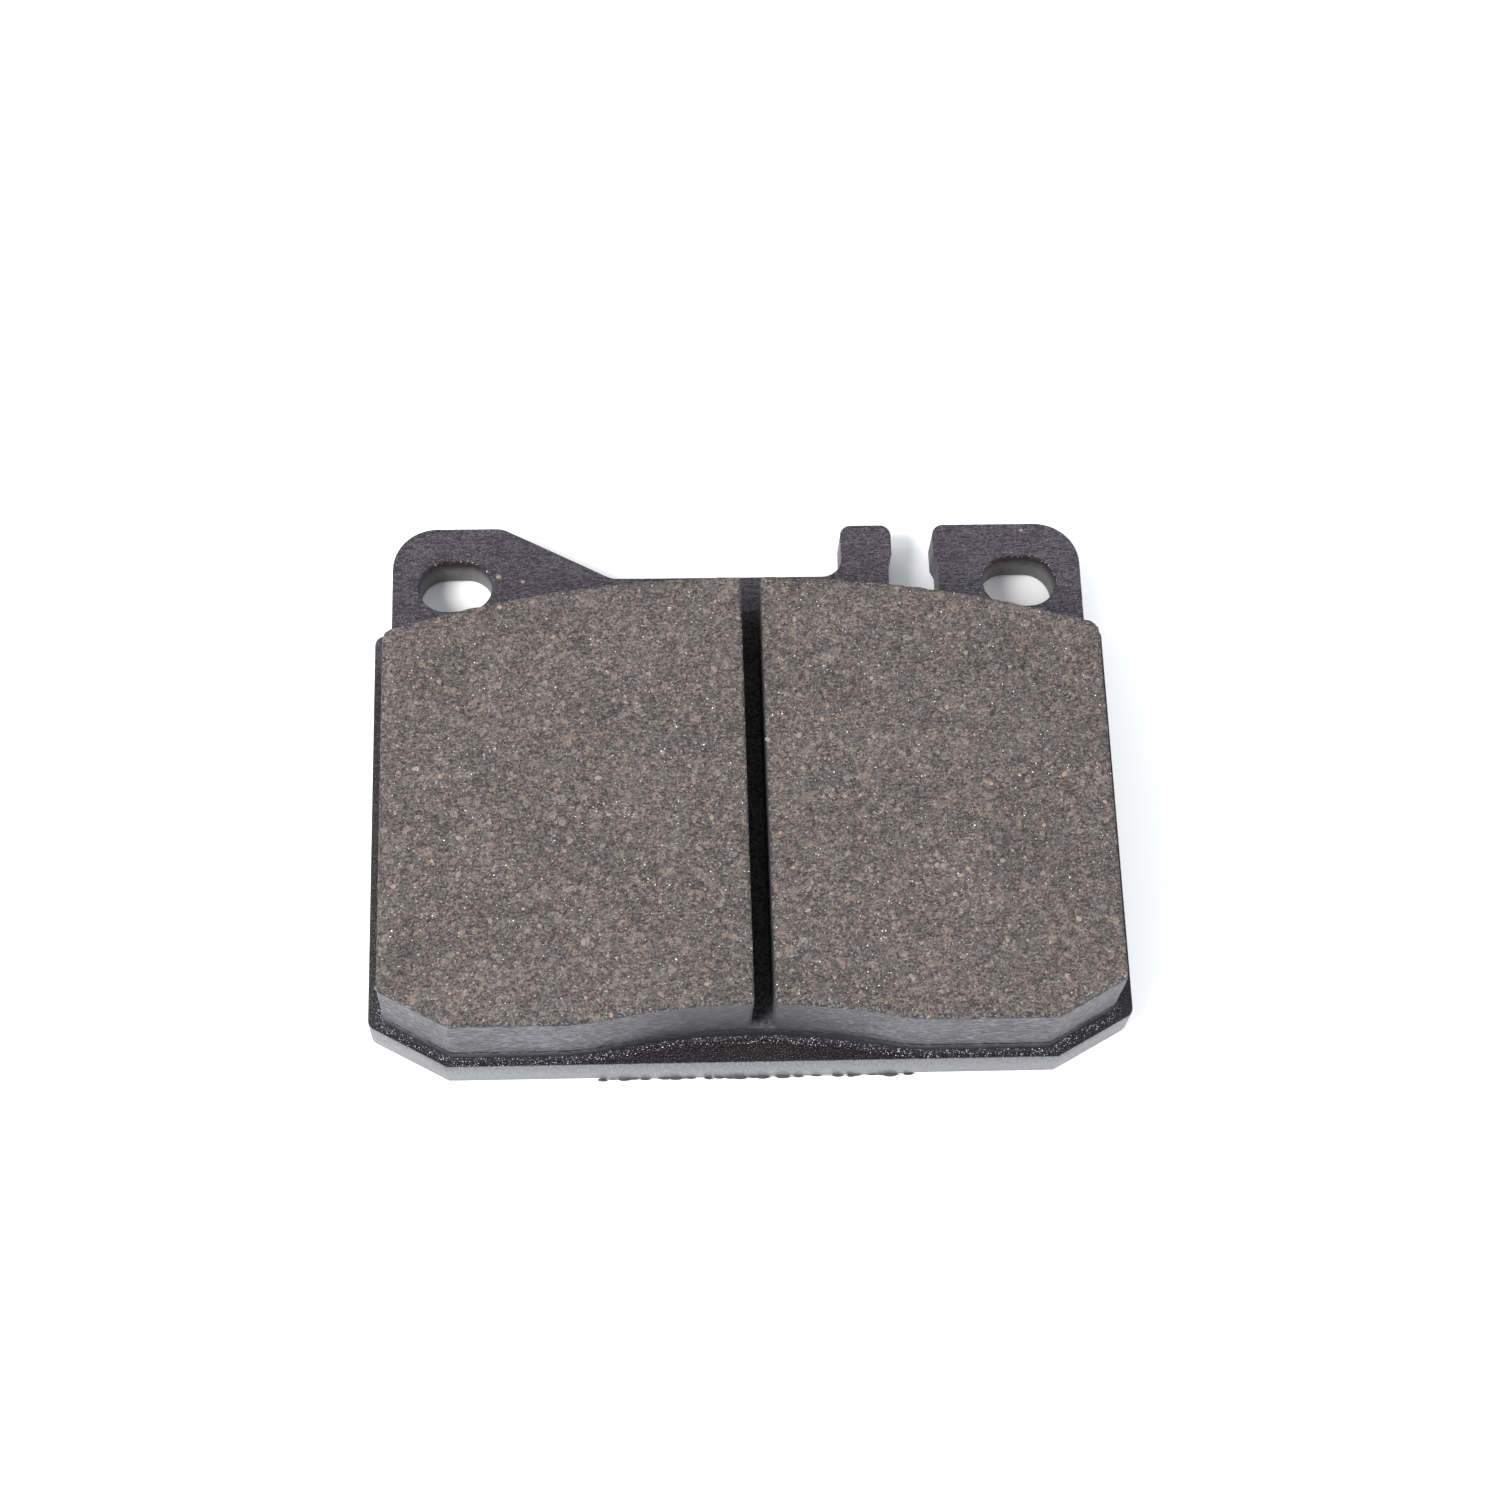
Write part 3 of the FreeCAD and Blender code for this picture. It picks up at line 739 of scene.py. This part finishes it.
def outline_of(node, name):
    """The outer upper outline of a flat node, as bare edges, without the rims of holes near its middle.

    Its points keep the mesh's own order, so that the path starts at the same point in every run.
    """
    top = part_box(node)[1].z
    work = bmesh.new()
    work.from_mesh(nodes[node].data)
    bmesh.ops.remove_doubles(work, verts=work.verts, dist=SAME_POINT)
    flat = {face for face in work.faces if all(abs(v.co.z - top) < HAIR for v in face.verts)}
    rim = [edge for edge in work.edges if sum(face in flat for face in edge.link_faces) == 1]
    low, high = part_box(node)
    centre = (low + high) / 2
    along = FAR_ALONG * (high.y - low.y) / 2
    aside = FAR_ASIDE * (high.x - low.x) / 2
    rim = [edge for edge in rim if max(abs(v.co.y - centre.y) for v in edge.verts) > along
           or max(abs(v.co.x - centre.x) for v in edge.verts) > aside]
    ends = {v for edge in rim for v in edge.verts}
    keep = [v for v in work.verts if v in ends]
    numbers = {v: index for index, v in enumerate(keep)}
    mesh = bpy.data.meshes.new(name)
    mesh.from_pydata([v.co[:] for v in keep], [[numbers[v] for v in edge.verts] for edge in rim], [])
    work.free()
    piece = bpy.data.objects.new(name, mesh)
    bpy.context.scene.collection.objects.link(piece)
    return piece


def grit_on_path():
    tree = node_tree("grit_on_path", {"Spacing": "Float", "Spread": "Vector", "Smallest": "Float",
                                      "Largest": "Float", "Stretch": "Vector", "Turn": "Float",
                                      "Fineness": "Int", "Seed": "Int", "Material": "Material"})
    given = tree.nodes.new("NodeGroupInput").outputs
    end = tree.nodes.new("NodeGroupOutput")
    curve = tree_node(tree, "GeometryNodeMeshToCurve", None, {0: given["Geometry"]})
    points = tree_node(tree, "GeometryNodeCurveToPoints", {"mode": "LENGTH"},
                       {"Curve": curve.outputs[0], "Length": given["Spacing"]})
    other = tree_node(tree, "ShaderNodeVectorMath", {"operation": "SCALE"},
                      {0: given["Spread"], "Scale": -1.0})
    aside = tree_node(tree, "FunctionNodeRandomValue", {"data_type": "FLOAT_VECTOR"},
                      {"Min": other.outputs[0], "Max": given["Spread"], "Seed": given["Seed"]})
    moved = tree_node(tree, "GeometryNodeSetPosition", None,
                      {"Geometry": points.outputs[0], "Offset": aside.outputs[0]})
    ball = tree_node(tree, "GeometryNodeMeshIcoSphere", None,
                     {"Radius": 1.0, "Subdivisions": given["Fineness"]})
    size = tree_node(tree, "FunctionNodeRandomValue", {"data_type": "FLOAT"},
                     {"Min": given["Smallest"], "Max": given["Largest"], "Seed": 8})
    scale = tree_node(tree, "ShaderNodeVectorMath", {"operation": "SCALE"},
                      {0: given["Stretch"], "Scale": size.outputs[1]})
    angles = tree_node(tree, "FunctionNodeRandomValue", {"data_type": "FLOAT_VECTOR"},
                       {"Min": (-1.0, -1.0, -1.0), "Max": (1.0, 1.0, 1.0), "Seed": 5})
    turn = tree_node(tree, "ShaderNodeVectorMath", {"operation": "SCALE"},
                     {0: angles.outputs[0], "Scale": given["Turn"]})
    balls = tree_node(tree, "GeometryNodeInstanceOnPoints", None,
                      {"Points": moved.outputs[0], "Instance": ball.outputs[0], "Scale": scale.outputs[0],
                       "Rotation": turn.outputs[0]})
    tone = tree_node(tree, "FunctionNodeRandomValue", {"data_type": "FLOAT"},
                     {"Min": 0.0, "Max": 1.0, "Seed": 3})
    toned = tree_node(tree, "GeometryNodeStoreNamedAttribute", {"data_type": "FLOAT", "domain": "INSTANCE"},
                      {"Geometry": balls.outputs[0], "Name": "tone", "Value": tone.outputs[1]})
    real = tree_node(tree, "GeometryNodeRealizeInstances", None, {0: toned.outputs[0]})
    coloured = tree_node(tree, "GeometryNodeSetMaterial", None,
                         {"Geometry": real.outputs[0], "Material": given["Material"]})
    tree.links.new(coloured.outputs[0], end.inputs[0])
    return tree


path_tree = grit_on_path()
grit = outline_of("bond_film", "rim_grit")
grown(grit, path_tree, {"Spacing": 0.030 * MM, "Spread": (0.50 * MM, 0.50 * MM, 0.0),
                        "Smallest": 0.016 * MM, "Largest": 0.065 * MM, "Stretch": (1.0, 1.0, 0.8),
                        "Turn": math.pi, "Fineness": 1, "Seed": 6, "Material": grit_finish})
seated(grit, "bond_film")

# %% [markdown]
# ## Squeezed-out shim adhesive
# Pressed against the plate, the shim's adhesive oozes out at the tongue's front edge and hardens in short
# dark beads. The same tree makes them: a straight path under the plate's lower edge, and balls that are
# drawn out along it.

# %% Beads under the lower edge
BEAD_LIFT = 0.36 * MM

tongue_low, tongue_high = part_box("shim_adhesive")
tongue_points = [v.co for v in nodes["shim_adhesive"].data.vertices if v.co.y < tongue_low.y + HAIR]
tongue_ends = [min(p.x for p in tongue_points), max(p.x for p in tongue_points)]
bead_mesh = bpy.data.meshes.new("shim_squeeze_out")
bead_mesh.from_pydata([(x, tongue_low.y, BEAD_LIFT) for x in tongue_ends], [(0, 1)], [])
beads = bpy.data.objects.new("shim_squeeze_out", bead_mesh)
bpy.context.scene.collection.objects.link(beads)
grown(beads, path_tree, {"Spacing": 1.35 * MM, "Spread": (0.7 * MM, 0.12 * MM, 0.05 * MM),
                         "Smallest": 0.14 * MM, "Largest": 0.27 * MM, "Stretch": (3.4, 1.1, 1.0),
                         "Turn": 0.08, "Fineness": 3, "Seed": 2, "Material": rubber_finish})
seated(beads, "shim_adhesive")

# %% [markdown]
# ## Loose grains on the plate
# A few crumbs of the mix lie where they fell, on the ears.

# %% Loose grains
# Place across the pad, distance from the ears' top, and radius, in millimetres.
LOOSE = [(-29.8, -6.8, 0.30), (-26.8, -7.5, 0.24), (35.9, -1.0, 0.22)]
crumbs = bmesh.new()
for x, below_top, radius in LOOSE:
    spot = Matrix.Translation((x * MM, plate_high.y + below_top * MM, plate_high.z + 0.4 * radius * MM))
    shape = Matrix.Diagonal((1.25, 1.0, 0.7, 1.0))
    bmesh.ops.create_icosphere(crumbs, subdivisions=2, radius=radius * MM, matrix=spot @ shape)
crumb_mesh = bpy.data.meshes.new("loose_grains")
crumbs.to_mesh(crumb_mesh)
crumbs.free()
tones = crumb_mesh.attributes.new("tone", "FLOAT", "POINT")
tones.data.foreach_set("value", [0.9] * len(crumb_mesh.vertices))
crumb_mesh.materials.append(fleck_finish)
loose = bpy.data.objects.new("loose_grains", crumb_mesh)
bpy.context.scene.collection.objects.link(loose)
seated(loose, "friction")

# %% [markdown]
# ## Layers that keep the drawing's shape
# The film, the underlayer and the shim are flat layers whose drawn shape is right. They stay as CAD nodes
# and get their finishes by putting a new material in the node's own slot.

# %% Finishes on the carried-over nodes
CARRIED = {
    "bond_film": film_finish,
    "underlayer": wall_finish,
    "shim_adhesive": glue_finish,
    "shim_core": steel_finish,
    "shim_rubber": rubber_finish,
}
for name, finish in CARRIED.items():
    for place in range(len(nodes[name].material_slots)):
        nodes[name].material_slots[place].material = finish

# %% [markdown]
# ## The table, the light and the camera
# The pad lies on a white table under a white sky. A soft key lamp stands high on its left and a weaker fill
# lamp lower on its right. The camera stands in front and well above, so the plate's lower edge is near and
# the ears are far.

# %% Table
HALF_TABLE = 1.5
BELOW_PAD = 0.02 * MM

floor_mesh = bpy.data.meshes.new("table")
floor_mesh.from_pydata([(-HALF_TABLE, -HALF_TABLE, 0), (HALF_TABLE, -HALF_TABLE, 0),
                        (HALF_TABLE, HALF_TABLE, 0), (-HALF_TABLE, HALF_TABLE, 0)], [], [(0, 1, 2, 3)])
table = bpy.data.objects.new("table", floor_mesh)
bpy.context.scene.collection.objects.link(table)
table_finish = Finish("table_white", Base_Color=(0.86, 0.86, 0.86, 1.0), Roughness=0.7,
                      Specular_IOR_Level=0.2)
table.data.materials.append(table_finish.material)
table.location.z = -BELOW_PAD

# %% Light
world = bpy.data.worlds.new("white_sky")
world.use_nodes = True
world.node_tree.nodes["Background"].inputs[0].default_value = (0.955, 0.975, 1.0, 1.0)
world.node_tree.nodes["Background"].inputs[1].default_value = 1.02
bpy.context.scene.world = world

pad_centre = Vector((0, 0, block_high.z / 2))


def soft_lamp(name, place, size, watts):
    lamp = bpy.data.lights.new(name, "AREA")
    lamp.shape = "DISK"
    lamp.size = size
    lamp.energy = watts
    stand = bpy.data.objects.new(name, lamp)
    stand.location = place
    stand.rotation_euler = (pad_centre - Vector(place)).to_track_quat("-Z", "Y").to_euler()
    bpy.context.scene.collection.objects.link(stand)


soft_lamp("key", (-0.44, -0.24, 0.58), 0.36, 10.5)
soft_lamp("fill", (0.62, -0.10, 0.34), 0.50, 4.0)

# %% Camera
ELEVATION = math.radians(67.09)
SWING = math.radians(6.88)
TILT = math.radians(5.58)
DISTANCE = 353.0 * MM
ASIDE = Vector((-0.98, 39.27, 0)) * MM
FOCAL = 72.12
FILM_WIDTH = 36.0

camera_data = bpy.data.cameras.new("camera")
camera_data.lens = FOCAL
camera_data.sensor_width = FILM_WIDTH
camera_data.clip_start = 0.01
camera = bpy.data.objects.new("camera", camera_data)
bpy.context.scene.collection.objects.link(camera)
aim = Vector((0, plate_low.y, plate_low.z))
turn = (Matrix.Rotation(-SWING, 4, "Z") @ Matrix.Rotation(math.pi / 2 - ELEVATION, 4, "X")
        @ Matrix.Rotation(TILT, 4, "Z"))
camera.matrix_world = Matrix.Translation(aim) @ turn @ Matrix.Translation(ASIDE + Vector((0, 0, DISTANCE)))
bpy.context.scene.camera = camera
bpy.context.scene.view_settings.view_transform = "Standard"
